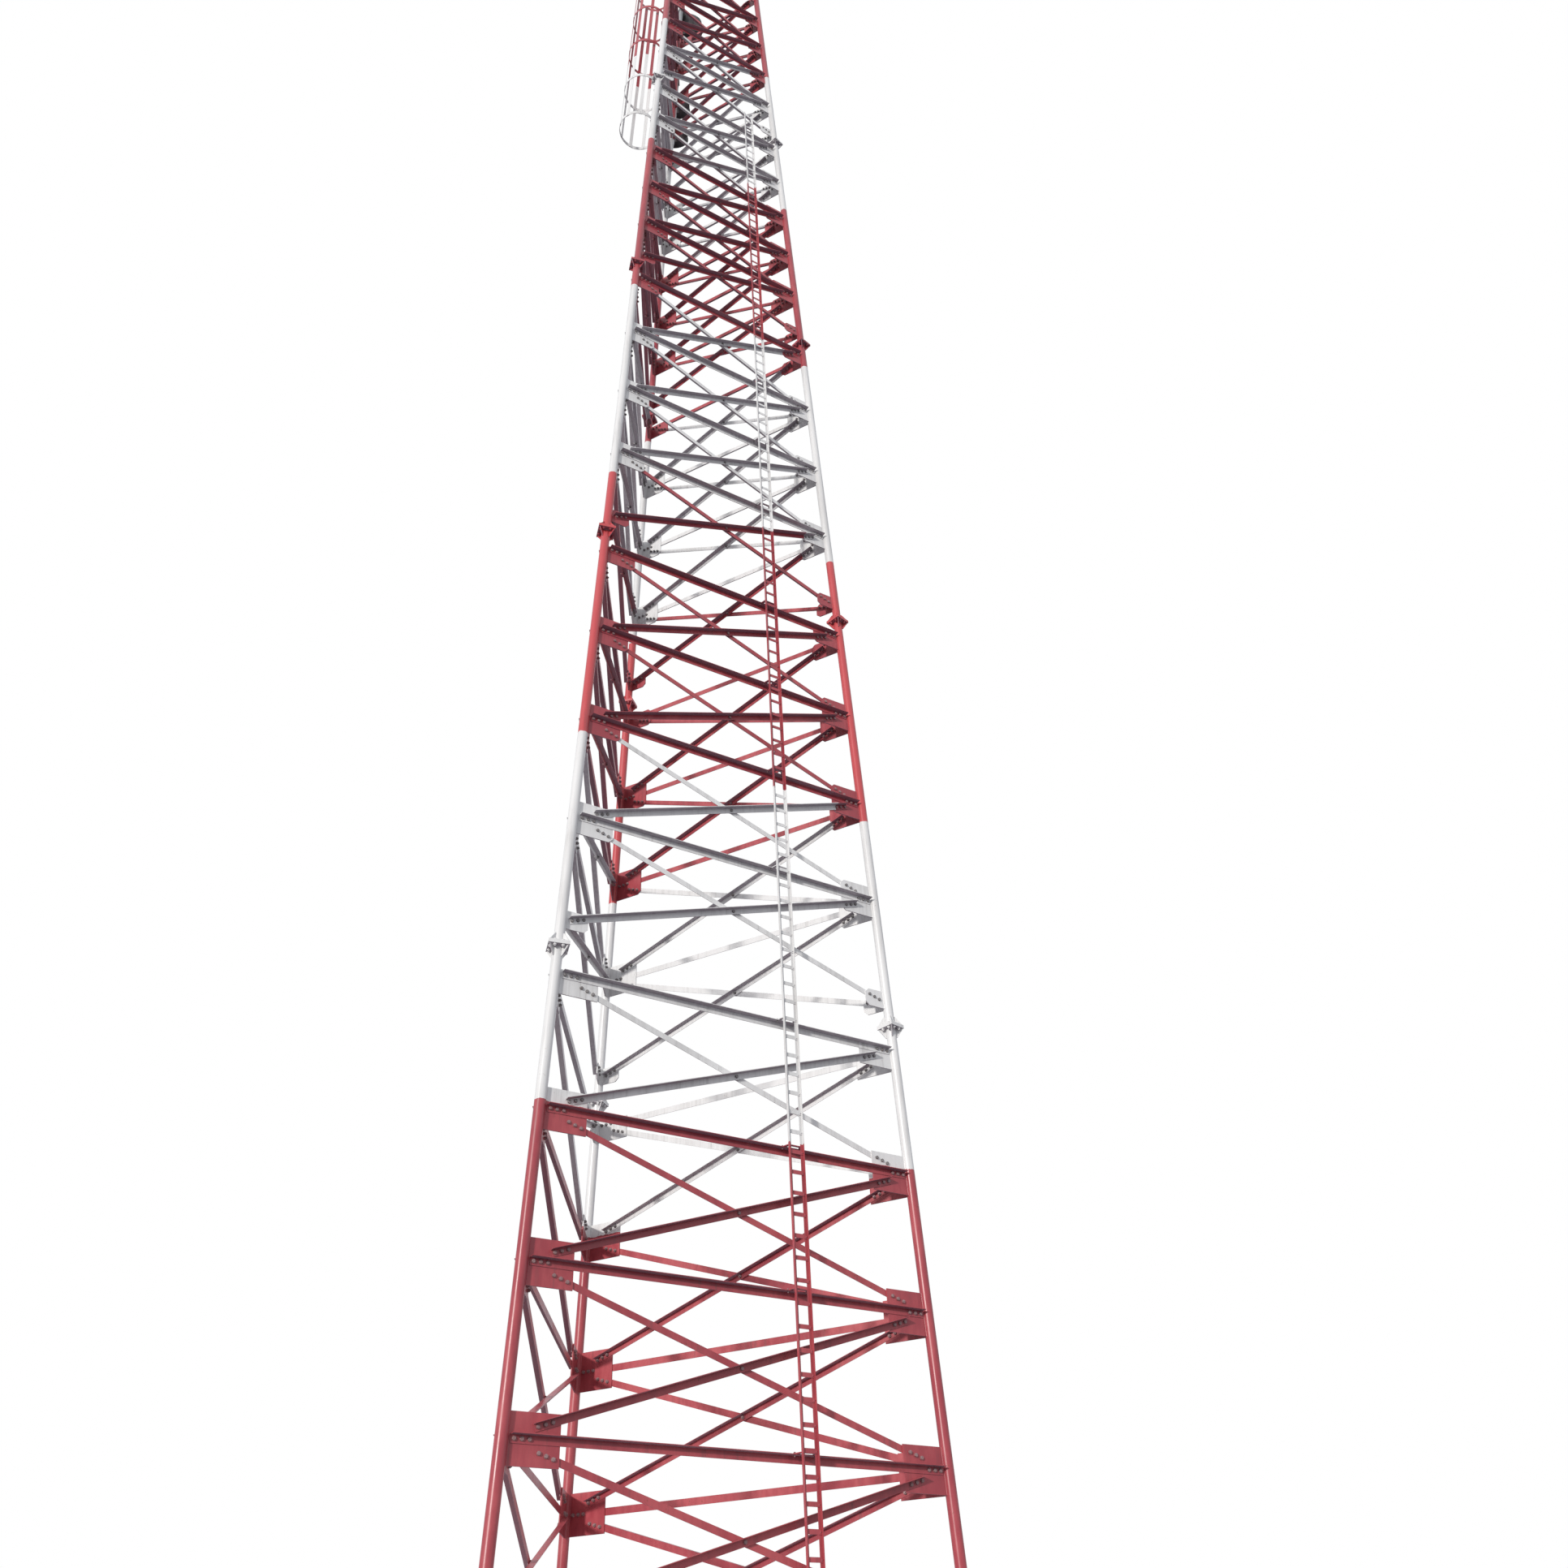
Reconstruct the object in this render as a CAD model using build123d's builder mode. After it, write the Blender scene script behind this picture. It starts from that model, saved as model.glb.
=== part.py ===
import math
import os

from build123d import *

# Lattice radio mast on three tapering tubular legs, in millimetres, +Z up.
# The origin is the underside of the left front leg's foot plate.

# Mast
section_height = 6000
section_count = 5
foot_radius = 2563
leg_taper_share = 0.0485
band_share = 0.1465
band_count = 7

# Leg tubes
leg_diameter = 108
leg_wall = 8

# Foot plates
foot_plate_width = 360
foot_plate_thickness = 25
anchor_spacing = 260
anchor_hole = 30
foot_rib_height = 150
foot_rib_reach = 160

# Splices between leg sections
splice_width = 210
splice_thickness = 20
splice_turn = 45
rib_height = 105
rib_reach = 137
rib_thickness = 10
fit_gap = 0.3

# Levels of a section: the lower sections have wide panels, the upper ones short panels
foot_level = 276
wide_first_level = 1580
wide_head_drop = 304
wide_girts = 4
short_first_level = 1260
short_head_drop = 260
short_girts = 5
wide_sections = 3

# Gusset plates
gusset_thickness = 12
gusset_edge = 24
gusset_root = 60
gusset_chamfer = 45

# Angle steel
girt_width = 70
girt_steel = 6
girt_end_gap = 15
outer_width = 65
outer_steel = 6
inner_width = 60
inner_steel = 5
brace_gap = 18
foot_end_gap = 20
bolt_run = 190

# Cable ladder on the front face
cable_ladder_foot = 300
cable_ladder_rise = 250
cable_ladder_place = 588
cable_ladder_lean_share = 0.001
cable_ladder_standoff = 130
cable_rail_spacing = 135
cable_rail_width = 30
cable_rail_steel = 4
cable_rung_height = 40
cable_rung_steel = 5
cable_rung_pitch = 205
bracket_steel = 8
bracket_bar = 28
bracket_flare = 35
bracket_lap = 50

# Caged ladder on the left face
climb_drop = 500
climb_place = 247
climb_standoff = 110
climb_width = 400
stile_depth = 60
stile_steel = 10
rung_diameter = 22
rung_pitch = 300
hoop_pitch = 1340
hoop_diameter = 700
hoop_reach = 780
hoop_height = 80
hoop_steel = 6
strap_width = 60
strap_steel = 5
strap_count = 6
strap_pitch = 40

# Drum antennas on the back leg
pipe_diameter = 76
pipe_wall = 5
antenna_turn = -30
pipe_reach = 260
pipe_drop = 3600
pipe_length = 2400
arm_inset = 200
arm_width = 120
arm_steel = 14
small_drum_shares = (0.29, 0.73)
small_drum_diameter = 560
small_drum_depth = 300
post_diameter = 89
post_tip = 600
large_drum_rise = 1100
large_drum_diameter = 900
large_drum_depth = 460
hub_share = 0.24
hub_depth_share = 0.2
cone_depth_share = 0.25
radome_depth_share = 0.06

# Sizes that follow from the above
leg_angles = (210, 330, 90)
leg_names = ("left", "right", "back")
face_names = ("front", "right", "left")
leg_radius = leg_diameter / 2
mast_height = section_height * section_count
top_section = section_height * (section_count - 1)
wide_pitch = (section_height - wide_first_level - wide_head_drop) / (wide_girts - 1)
short_pitch = (section_height - short_first_level - short_head_drop) / (short_girts - 1)
cable_ladder_top = top_section + cable_ladder_rise
climb_foot = top_section - climb_drop
hoop_count = int(section_height / hoop_pitch) + 1
post_length = large_drum_rise + post_tip
band_height = band_share * mast_height
lean_cosine = math.cos(math.atan(leg_taper_share))
face_lean_share = leg_taper_share / 2
face_cosine = math.cos(math.atan(face_lean_share))
mast_axis = Vector(
    -foot_radius * math.cos(math.radians(leg_angles[0])),
    -foot_radius * math.sin(math.radians(leg_angles[0])),
    0,
)


def leg_point(leg, height):
    """Point on a leg's axis at a height above the ground."""
    reach = foot_radius - leg_taper_share * height
    angle = math.radians(leg_angles[leg])
    return mast_axis + Vector(reach * math.cos(angle), reach * math.sin(angle), height)


def leg_plane(leg, height, turn=0):
    """Plane across a leg at a height: x out from the mast, turned by an angle, z along the leg."""
    axis = (leg_point(leg, mast_height) - leg_point(leg, 0)).normalized()
    angle = math.radians(leg_angles[leg] + turn)
    outward = Vector(math.cos(angle), math.sin(angle), 0)
    outward = (outward - axis * outward.dot(axis)).normalized()
    return Plane(origin=leg_point(leg, height), x_dir=outward, z_dir=axis)


def rib_planes(plane):
    """Four upright planes through a leg, with x away from the leg and y along it."""
    planes = []
    for turn in range(4):
        angle = math.radians(turn * 90)
        away = plane.x_dir * math.cos(angle) + plane.y_dir * math.sin(angle)
        planes.append(Plane(origin=plane.origin, x_dir=away, z_dir=away.cross(plane.z_dir)))
    return planes


def face_plane(face):
    """Plane of a side through both leg axes: x from leg to leg, y up the slope, z outward."""
    start = leg_point(face, 0)
    end = leg_point((face + 1) % 3, 0)
    along = (end - start).normalized()
    top = (leg_point(face, mast_height) + leg_point((face + 1) % 3, mast_height)) / 2
    middle = (start + end) / 2
    upward = (top - middle).normalized()
    return Plane(origin=middle, x_dir=along, z_dir=along.cross(upward))


def face_half_width(height):
    """Half the distance between two leg axes at a height."""
    return (foot_radius - leg_taper_share * height) * math.cos(math.radians(30))


def section_levels(section):
    """Heights of the foot gussets and of the girts of one leg section."""
    base = section * section_height
    if section < wide_sections:
        girts = [wide_first_level + step * wide_pitch for step in range(wide_girts)]
    else:
        girts = [short_first_level + step * short_pitch for step in range(short_girts)]
    return [base + level for level in [foot_level] + girts]


def brace_slope(low, high):
    """Angle to the level of the braces of a panel between two heights."""
    run = face_half_width(low) + face_half_width(high)
    return math.atan((high - low) / face_cosine / run)


def brace_setback(low, high, at_foot):
    """Distance along a brace from the leg's axis to its end, clear of the leg or of the girt."""
    slope = brace_slope(low, high)
    if at_foot:
        return (leg_radius + foot_end_gap + outer_width / 2 * math.sin(slope)) / math.cos(slope)
    return (girt_width / 2 + outer_width / 2 + brace_gap) / math.sin(slope)


def bar_plane(plane, start, end):
    """Plane across a bar of a side: x upward in the side, y outward, z along the bar."""
    along = plane.from_local_coords(end) - plane.from_local_coords(start)
    upward = plane.z_dir.cross(along.normalized())
    return Plane(origin=plane.from_local_coords(start), x_dir=upward, z_dir=along.normalized())


def angle_outline(width, steel, side):
    """Outline of an angle bar: one leg flat on the gusset, the other standing off at the top."""
    seat = side * gusset_thickness / 2
    half = width / 2
    return [
        (-half, seat),
        (half, seat),
        (half, seat + side * width),
        (half - steel, seat + side * width),
        (half - steel, seat + side * steel),
        (-half, seat + side * steel),
    ]


def girt_bar(plane, height):
    """Level bar between two legs, with its plane, length and outline."""
    reach = face_half_width(height) - leg_radius - girt_end_gap
    start = Vector(-reach, height / face_cosine, 0)
    end = Vector(reach, height / face_cosine, 0)
    outline = angle_outline(girt_width, girt_steel, 1)
    return bar_plane(plane, start, end), 2 * reach, outline


def brace_bar(plane, low, high, at_foot, outer):
    """Sloping bar of a panel: the outer one rises to the right, the inner one to the left."""
    left_height, right_height = (low, high) if outer else (high, low)
    start = Vector(-face_half_width(left_height), left_height / face_cosine, 0)
    end = Vector(face_half_width(right_height), right_height / face_cosine, 0)
    along = (end - start).normalized()
    low_setback = brace_setback(low, high, at_foot)
    high_setback = brace_setback(low, high, False)
    start = start + along * (low_setback if outer else high_setback)
    end = end - along * (high_setback if outer else low_setback)
    width, steel, side = (outer_width, outer_steel, 1) if outer else (inner_width, inner_steel, -1)
    return bar_plane(plane, start, end), (end - start).length, angle_outline(width, steel, side)


def gusset_outline(height, below, above, side, chamfer):
    """Corners of a gusset plate that is welded to one leg of a side, from the leg outward."""
    reaches = []
    drops = []
    for panel in (below, above):
        if panel:
            run = brace_setback(*panel, panel is above and not below) + bolt_run
            slope = brace_slope(*panel)
            reaches.append(run * math.cos(slope))
            drops.append(run * math.sin(slope) + outer_width / 2 + gusset_edge)
        else:
            drops.append(gusset_root)
    low = height - drops[0] * face_cosine
    high = height + drops[1] * face_cosine
    edge = max(reaches) + gusset_edge - face_half_width(height)
    root_slope = math.atan(leg_taper_share * math.cos(math.radians(30)))
    root = leg_radius / math.cos(root_slope)
    low_y = low / face_cosine
    high_y = high / face_cosine
    corners = [
        (root - face_half_width(low), low_y),
        (edge - chamfer, low_y),
        (edge, low_y + chamfer),
        (edge, high_y - chamfer),
        (edge - chamfer, high_y),
        (root - face_half_width(high), high_y),
    ]
    if not chamfer:
        corners = [corners[0], corners[1], corners[3], corners[5]]
    return [(side * x, y) for x, y in corners]


def bracket_outline(place, half_width, standoff):
    """Flat bracket on a girt: two arms that spread from a bar at the back of a ladder."""
    seat = gusset_thickness / 2 + girt_width - bracket_lap
    spread = half_width + bracket_flare
    return [
        (place - spread, seat),
        (place - spread + bracket_bar, seat),
        (place - half_width + bracket_bar, standoff - bracket_bar),
        (place + half_width - bracket_bar, standoff - bracket_bar),
        (place + spread - bracket_bar, seat),
        (place + spread, seat),
        (place + half_width, standoff),
        (place - half_width, standoff),
    ]


def bracket_plane(plane, height):
    """Level plane on top of a girt, with x along the girt and y outward."""
    seat = plane.from_local_coords(Vector(0, height / face_cosine + girt_width / 2, 0))
    return Plane(origin=seat, x_dir=plane.x_dir, z_dir=-plane.y_dir)


def drum_outline(diameter, depth, seat):
    """Half section of a drum antenna: hub, sloping back, straight shroud and domed cover."""
    radius = diameter / 2
    hub = hub_share * radius
    hub_end = seat + hub_depth_share * depth
    cone_end = hub_end + cone_depth_share * depth
    shroud_end = seat + depth - radome_depth_share * depth
    return [
        (seat, 0),
        (seat, hub),
        (hub_end, hub),
        (cone_end, radius),
        (shroud_end, radius),
        (seat + depth, hub),
        (seat + depth, 0),
    ]


def save(piece, name):
    """Write one named piece as its own file."""
    piece.part.label = name
    export_step(piece.part, f"parts/{name}.step")


os.makedirs("parts", exist_ok=True)
girt_heights = [level for section in range(section_count) for level in section_levels(section)[1:]]
panels = []
for section in range(section_count):
    levels = section_levels(section)
    for order in range(len(levels) - 1):
        panels.append((levels[order], levels[order + 1], order == 0))

# Leg tubes, one to a section, each standing on the plate below it
for leg in range(3):
    with BuildPart() as leg_tubes:
        for section in range(section_count):
            foot = leg_plane(leg, section * section_height)
            lift = splice_thickness if section else 0
            length = section_height / lean_cosine - splice_thickness - lift
            with BuildSketch(foot.offset(lift)):
                Circle(leg_radius)
                Circle(leg_radius - leg_wall, mode=Mode.SUBTRACT)
            extrude(amount=length)
        split(bisect_by=Plane.XY.offset(foot_plate_thickness), keep=Keep.TOP)
    save(leg_tubes, f"{leg_names[leg]}_leg")

# Foot plates with anchor holes and four ribs each
with BuildPart() as foot_plates:
    foot_places = [Plane(leg_point(leg, 0), x_dir=leg_plane(leg, 0).y_dir) for leg in range(3)]
    with BuildSketch(*foot_places):
        Rectangle(foot_plate_width, foot_plate_width)
        with GridLocations(anchor_spacing, anchor_spacing, 2, 2):
            Circle(anchor_hole / 2, mode=Mode.SUBTRACT)
    extrude(amount=foot_plate_thickness)
    upright_places = [rib for leg in range(3) for rib in rib_planes(leg_plane(leg, 0))]
    rib_foot = foot_plate_thickness / 2
    rib_root = leg_radius + fit_gap
    with BuildSketch(*upright_places):
        with BuildLine():
            Polyline(
                (rib_root, rib_foot),
                (foot_rib_reach, rib_foot),
                (foot_rib_reach, foot_plate_thickness + rib_thickness),
                (rib_root + rib_thickness, foot_rib_height),
                (rib_root, foot_rib_height),
                close=True,
            )
        make_face()
    extrude(amount=rib_thickness / 2, both=True)
save(foot_plates, "foot_plates")

# Splice plates with their ribs, the lower of each pair on the section below
splice_heights = [section * section_height for section in range(1, section_count)]
plate_sets = (
    ("splice_lower_plates", splice_heights, -1),
    ("splice_upper_plates", splice_heights, 1),
    ("top_plates", [mast_height], -1),
)
for name, heights, side in plate_sets:
    with BuildPart() as splice_plates:
        plate_places = [leg_plane(leg, height) for leg in range(3) for height in heights]
        with BuildSketch(*plate_places):
            Rectangle(splice_width, splice_width, rotation=splice_turn)
        extrude(amount=side * splice_thickness)
        upright_places = [rib for place in plate_places for rib in rib_planes(place)]
        with BuildSketch(*upright_places):
            with BuildLine():
                Polyline(
                    (rib_root, side * splice_thickness),
                    (rib_reach, side * splice_thickness),
                    (rib_root + rib_thickness, side * (splice_thickness + rib_height)),
                    (rib_root, side * (splice_thickness + rib_height)),
                    close=True,
                )
            make_face()
        extrude(amount=rib_thickness / 2, both=True)
    save(splice_plates, name)

# Gusset plates, welded to the legs in the plane of each side
for face in range(3):
    with BuildPart() as gussets:
        with BuildSketch(face_plane(face)):
            for section in range(section_count):
                levels = section_levels(section)
                chamfer = gusset_chamfer if section else 0
                for order, height in enumerate(levels):
                    below = (levels[order - 1], height) if order else None
                    above = (height, levels[order + 1]) if order + 1 < len(levels) else None
                    for side in (1, -1):
                        with BuildLine():
                            Polyline(gusset_outline(height, below, above, side, chamfer), close=True)
                        make_face()
        extrude(amount=gusset_thickness / 2, both=True)
    save(gussets, f"{face_names[face]}_gussets")

# Girts and crossing braces of angle steel, one node to a side and paint band
for face in range(3):
    plane = face_plane(face)
    for band in range(band_count):
        bars = []
        for height in girt_heights:
            if min(int(height / band_height), band_count - 1) == band:
                bars.append(girt_bar(plane, height))
        for low, high, at_foot in panels:
            if min(int((low + high) / 2 / band_height), band_count - 1) == band:
                bars.append(brace_bar(plane, low, high, at_foot, True))
                bars.append(brace_bar(plane, low, high, at_foot, False))
        with BuildPart() as bracing:
            for place, length, outline in bars:
                with BuildSketch(place):
                    with BuildLine():
                        Polyline(outline, close=True)
                    make_face()
                extrude(amount=length)
        save(bracing, f"{face_names[face]}_bracing_{band + 1}")

# Cable ladder in front of the front face, on forked brackets that lie on the girts
front = face_plane(0)
ladder_origin = front.from_local_coords(Vector(cable_ladder_place, 0, cable_ladder_standoff))
ladder_upward = front.y_dir - front.x_dir * cable_ladder_lean_share
ladder_across = ladder_upward.normalized().cross(front.z_dir)
ladder_plane = Plane(origin=ladder_origin, x_dir=ladder_across, z_dir=front.z_dir)
ladder_half = (cable_rail_spacing + cable_rail_width) / 2
with BuildPart() as cable_ladder_rails:
    rail_start = Vector(0, cable_ladder_foot, 0)
    rail_place = Plane(
        origin=ladder_plane.from_local_coords(rail_start),
        x_dir=ladder_plane.x_dir,
        z_dir=ladder_plane.y_dir,
    )
    with BuildSketch(rail_place):
        for side in (1, -1):
            with BuildLine():
                Polyline(
                    (side * ladder_half, 0),
                    (side * (ladder_half - cable_rail_width), 0),
                    (side * (ladder_half - cable_rail_width), -cable_rail_steel),
                    (side * (ladder_half - cable_rail_steel), -cable_rail_steel),
                    (side * (ladder_half - cable_rail_steel), -cable_rail_width),
                    (side * ladder_half, -cable_rail_width),
                    close=True,
                )
            make_face()
    extrude(amount=cable_ladder_top - cable_ladder_foot)
save(cable_ladder_rails, "cable_ladder_rails")

rung_span = 2 * (ladder_half - cable_rail_steel - fit_gap)
with BuildPart() as cable_ladder_rungs:
    rung_total = int((cable_ladder_top - cable_ladder_foot) / cable_rung_pitch)
    rung_first = cable_ladder_foot + cable_rung_pitch / 2
    rung_places = [(0, rung_first + step * cable_rung_pitch) for step in range(rung_total)]
    with BuildSketch(ladder_plane.offset(cable_rail_steel)):
        with Locations(*rung_places):
            Rectangle(rung_span, cable_rung_height)
    extrude(amount=cable_rung_steel)
save(cable_ladder_rungs, "cable_ladder_rungs")

with BuildPart() as cable_ladder_brackets:
    for height in girt_heights:
        if cable_ladder_foot < height < cable_ladder_top:
            place = cable_ladder_place - cable_ladder_lean_share * height
            with BuildSketch(bracket_plane(front, height)):
                with BuildLine():
                    Polyline(bracket_outline(place, ladder_half, cable_ladder_standoff), close=True)
                make_face()
            extrude(amount=-bracket_steel)
save(cable_ladder_brackets, "cable_ladder_brackets")

# Caged ladder outside the left face, from the fourth splice up
left = face_plane(2)
climb_half = climb_width / 2
climb_origin = left.from_local_coords(Vector(climb_place, 0, climb_standoff))
climb_level = Plane(origin=climb_origin, x_dir=left.x_dir, z_dir=left.y_dir)
with BuildPart() as ladder_stiles:
    with BuildSketch(climb_level.offset(climb_foot)):
        with Locations((climb_half, -stile_depth / 2), (-climb_half, -stile_depth / 2)):
            Rectangle(stile_steel, stile_depth)
    extrude(amount=mast_height - climb_foot)
save(ladder_stiles, "ladder_stiles")

with BuildPart() as ladder_rungs:
    rung_total = int((mast_height - climb_foot) / rung_pitch)
    rung_start = left.from_local_coords(
        Vector(climb_place - climb_half + stile_steel / 2, 0, climb_standoff + stile_depth / 2)
    )
    across = Plane(origin=rung_start, x_dir=left.y_dir, z_dir=left.x_dir)
    with BuildSketch(across):
        first = climb_foot + rung_pitch / 2
        with Locations(*[(first + step * rung_pitch, 0) for step in range(rung_total)]):
            Circle(rung_diameter / 2)
    extrude(amount=climb_width - stile_steel)
save(ladder_rungs, "ladder_rungs")

with BuildPart() as ladder_brackets:
    for height in girt_heights:
        if climb_foot < height < mast_height:
            with BuildSketch(bracket_plane(left, height)):
                with BuildLine():
                    half = climb_half + stile_steel / 2
                    Polyline(bracket_outline(climb_place, half, climb_standoff), close=True)
                make_face()
            extrude(amount=-bracket_steel)
save(ladder_brackets, "ladder_brackets")

hoop_radius = hoop_diameter / 2
hoop_centre = hoop_reach - hoop_radius - climb_standoff
stile_outer = climb_half + stile_steel / 2
with BuildPart() as cage_hoops:
    hoop_places = [climb_level.offset(top_section + step * hoop_pitch) for step in range(hoop_count)]
    with BuildSketch(*hoop_places):
        with Locations((0, -hoop_centre)):
            Circle(hoop_radius)
            Circle(hoop_radius - hoop_steel, mode=Mode.SUBTRACT)
        with Locations((0, -hoop_centre + hoop_radius / 2)):
            Rectangle(2 * stile_outer, hoop_radius, mode=Mode.SUBTRACT)
    extrude(amount=hoop_height)
save(cage_hoops, "cage_hoops")

hoop_inside = hoop_radius - hoop_steel
strap_seat = math.sqrt(hoop_inside**2 - (strap_width / 2) ** 2) - strap_steel / 2
with BuildPart() as cage_straps:
    with BuildSketch(climb_level.offset(top_section)):
        for step in range(strap_count):
            angle = 90 + strap_pitch * (step - (strap_count - 1) / 2)
            turn = math.radians(angle)
            seat = (strap_seat * math.cos(turn), -hoop_centre - strap_seat * math.sin(turn))
            with Locations(Location(seat, -angle)):
                Rectangle(strap_steel, strap_width)
    extrude(amount=(hoop_count - 1) * hoop_pitch + hoop_height)
save(cage_straps, "cage_straps")

# Drum antennas behind the back leg: two on a pipe, one on a post on the leg's top plate
back = leg_plane(2, 0, antenna_turn)
pipe_start = (mast_height - pipe_drop) / lean_cosine
with BuildPart() as antenna_pipe:
    with BuildSketch(back.offset(pipe_start)):
        with Locations((pipe_reach, 0)):
            Circle(pipe_diameter / 2)
            Circle(pipe_diameter / 2 - pipe_wall, mode=Mode.SUBTRACT)
    extrude(amount=pipe_length)
save(antenna_pipe, "antenna_pipe")

with BuildPart() as antenna_arms:
    arm_steps = (arm_inset, pipe_length - arm_inset)
    arm_places = [back.offset(pipe_start + step) for step in arm_steps]
    with BuildSketch(*arm_places):
        with Locations((pipe_reach / 2, 0)):
            Rectangle(pipe_reach, arm_width)
        Circle(leg_radius + fit_gap, mode=Mode.SUBTRACT)
        with Locations((pipe_reach, 0)):
            Circle(pipe_diameter / 2 + fit_gap, mode=Mode.SUBTRACT)
    extrude(amount=arm_steel)
save(antenna_arms, "antenna_arms")

with BuildPart() as small_drums:
    for share in small_drum_shares:
        middle = back.offset(pipe_start + share * pipe_length)
        outline = drum_outline(
            small_drum_diameter, small_drum_depth, pipe_reach + pipe_diameter / 2 + fit_gap
        )
        with BuildSketch(middle):
            with BuildLine():
                Polyline(outline, close=True)
            make_face()
        revolve(axis=Axis(middle.origin, middle.x_dir))
save(small_drums, "small_drums")

with BuildPart() as antenna_post:
    with BuildSketch(back.offset(mast_height / lean_cosine)):
        Circle(post_diameter / 2)
        Circle(post_diameter / 2 - pipe_wall, mode=Mode.SUBTRACT)
    extrude(amount=post_length)
save(antenna_post, "antenna_post")

with BuildPart() as large_drum:
    middle = back.offset(mast_height / lean_cosine + large_drum_rise)
    outline = drum_outline(large_drum_diameter, large_drum_depth, post_diameter / 2 + fit_gap)
    with BuildSketch(middle):
        with BuildLine():
            Polyline(outline, close=True)
        make_face()
    revolve(axis=Axis(middle.origin, middle.x_dir))
save(large_drum, "large_drum")
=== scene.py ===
import math

import bpy
import numpy as np
from mathutils import Matrix


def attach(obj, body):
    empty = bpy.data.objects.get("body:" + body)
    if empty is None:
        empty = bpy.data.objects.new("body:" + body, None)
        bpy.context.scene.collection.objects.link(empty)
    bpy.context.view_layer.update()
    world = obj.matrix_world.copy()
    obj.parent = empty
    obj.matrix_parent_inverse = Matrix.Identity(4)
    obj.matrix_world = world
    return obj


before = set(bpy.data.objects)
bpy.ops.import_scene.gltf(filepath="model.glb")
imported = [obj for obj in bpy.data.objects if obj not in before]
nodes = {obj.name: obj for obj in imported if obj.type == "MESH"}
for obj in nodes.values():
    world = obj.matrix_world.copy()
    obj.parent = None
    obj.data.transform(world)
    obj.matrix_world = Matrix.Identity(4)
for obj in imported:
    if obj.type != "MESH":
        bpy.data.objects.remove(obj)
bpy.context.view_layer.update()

# Legs: three round steel tubes of five flanged sections, rolled and welded, leaning in evenly.
# They are brush painted in red and white bands, faded in patches, with rust in pits and grime
# washed down in streaks.
section_height = 6.0
section_count = 5
foot_radius = 2.563
leg_taper = 0.0485
leg_radius = 0.054
leg_edges = (4.39, 8.71, 13.10, 17.41, 21.80, 26.37)
leg_angles = np.radians([210, 330, 90])
mast_axis = -foot_radius * np.array([math.cos(leg_angles[0]), math.sin(leg_angles[0]), 0])
old_red = (0.335, 0.047, 0.062, 1)
faded_red = (0.450, 0.081, 0.093, 1)
fresh_red = (0.580, 0.074, 0.080, 1)
clean_white = (0.735, 0.735, 0.735, 1)
chalky_white = (0.605, 0.602, 0.598, 1)
grime = (0.085, 0.062, 0.060, 1)
rust = (0.150, 0.052, 0.022, 1)
# Purple-grey film on faces that look down: partly dust, partly painted shade.
dust_and_shade_tint = (0.320, 0.262, 0.325, 1)
renewed_start = (6.0, 9.0)
renewed_end = (13.2, 17.2)
gusset_reach = 0.40


class Signal:
    """One output of a material's nodes. Arithmetic on signals adds Math nodes."""

    def __init__(self, tree, socket=None):
        self.tree = tree
        self.socket = socket

    def add(self, kind, settings, sockets, output=0):
        """Add a node of a kind: its settings first, then numbers or links for its sockets."""
        node = self.tree.nodes.new(kind)
        for name, value in settings.items():
            setattr(node, name, value)
        for key, value in sockets.items():
            if isinstance(value, Signal):
                self.tree.links.new(value.socket, node.inputs[key])
            else:
                node.inputs[key].default_value = value
        return Signal(self.tree, node.outputs[output])

    def math(self, operation, *values):
        feeds = dict(enumerate((self, *values)))
        return self.add("ShaderNodeMath", {"operation": operation}, feeds)

    def __add__(self, other):
        return self.math("ADD", other)

    def __sub__(self, other):
        return self.math("SUBTRACT", other)

    def __rsub__(self, other):
        return self.add("ShaderNodeMath", {"operation": "SUBTRACT"}, {0: other, 1: self})

    def __mul__(self, other):
        return self.math("MULTIPLY", other)

    __radd__ = __add__
    __rmul__ = __mul__

    def part(self, order):
        """One part of this vector: x, y or z."""
        return self.add("ShaderNodeSeparateXYZ", {}, {0: self}, order)

    def noise(self, stretch, detail, roughness=0.55):
        """Noise over this vector, with its own number of bumps to the metre along x, y and z."""
        scaled = self.add("ShaderNodeVectorMath", {"operation": "MULTIPLY"}, {0: self, 1: stretch})
        feeds = {"Vector": scaled, "Scale": 1.0, "Detail": detail, "Roughness": roughness}
        return self.add("ShaderNodeTexNoise", {}, feeds)

    def step(self, low, high):
        """Smooth rise from 0 at low to 1 at high."""
        feeds = {"Value": self, 1: low, 2: high}
        return self.add("ShaderNodeMapRange", {"interpolation_type": "SMOOTHSTEP"}, feeds)

    def blend(self, first, second):
        """Mix of two colours, with this signal as the share of the second."""
        return self.add("ShaderNodeMix", {"data_type": "RGBA"}, {0: self, 6: first, 7: second}, 2)

    def bump(self, strength, distance):
        """Normal of a surface that this signal raises, by the distance where it is 1."""
        feeds = {"Strength": strength, "Distance": distance, "Height": self}
        return self.add("ShaderNodeBump", {}, feeds)

    def into(self, socket):
        self.tree.links.new(self.socket, socket)


def odd_band(height, edges):
    """Share of white: 1 where an odd number of the edges lies below this height, else 0."""
    passed = [height.math("GREATER_THAN", edge) for edge in edges]
    return sum(passed[1:], passed[0]).math("MODULO", 2.0)


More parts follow.
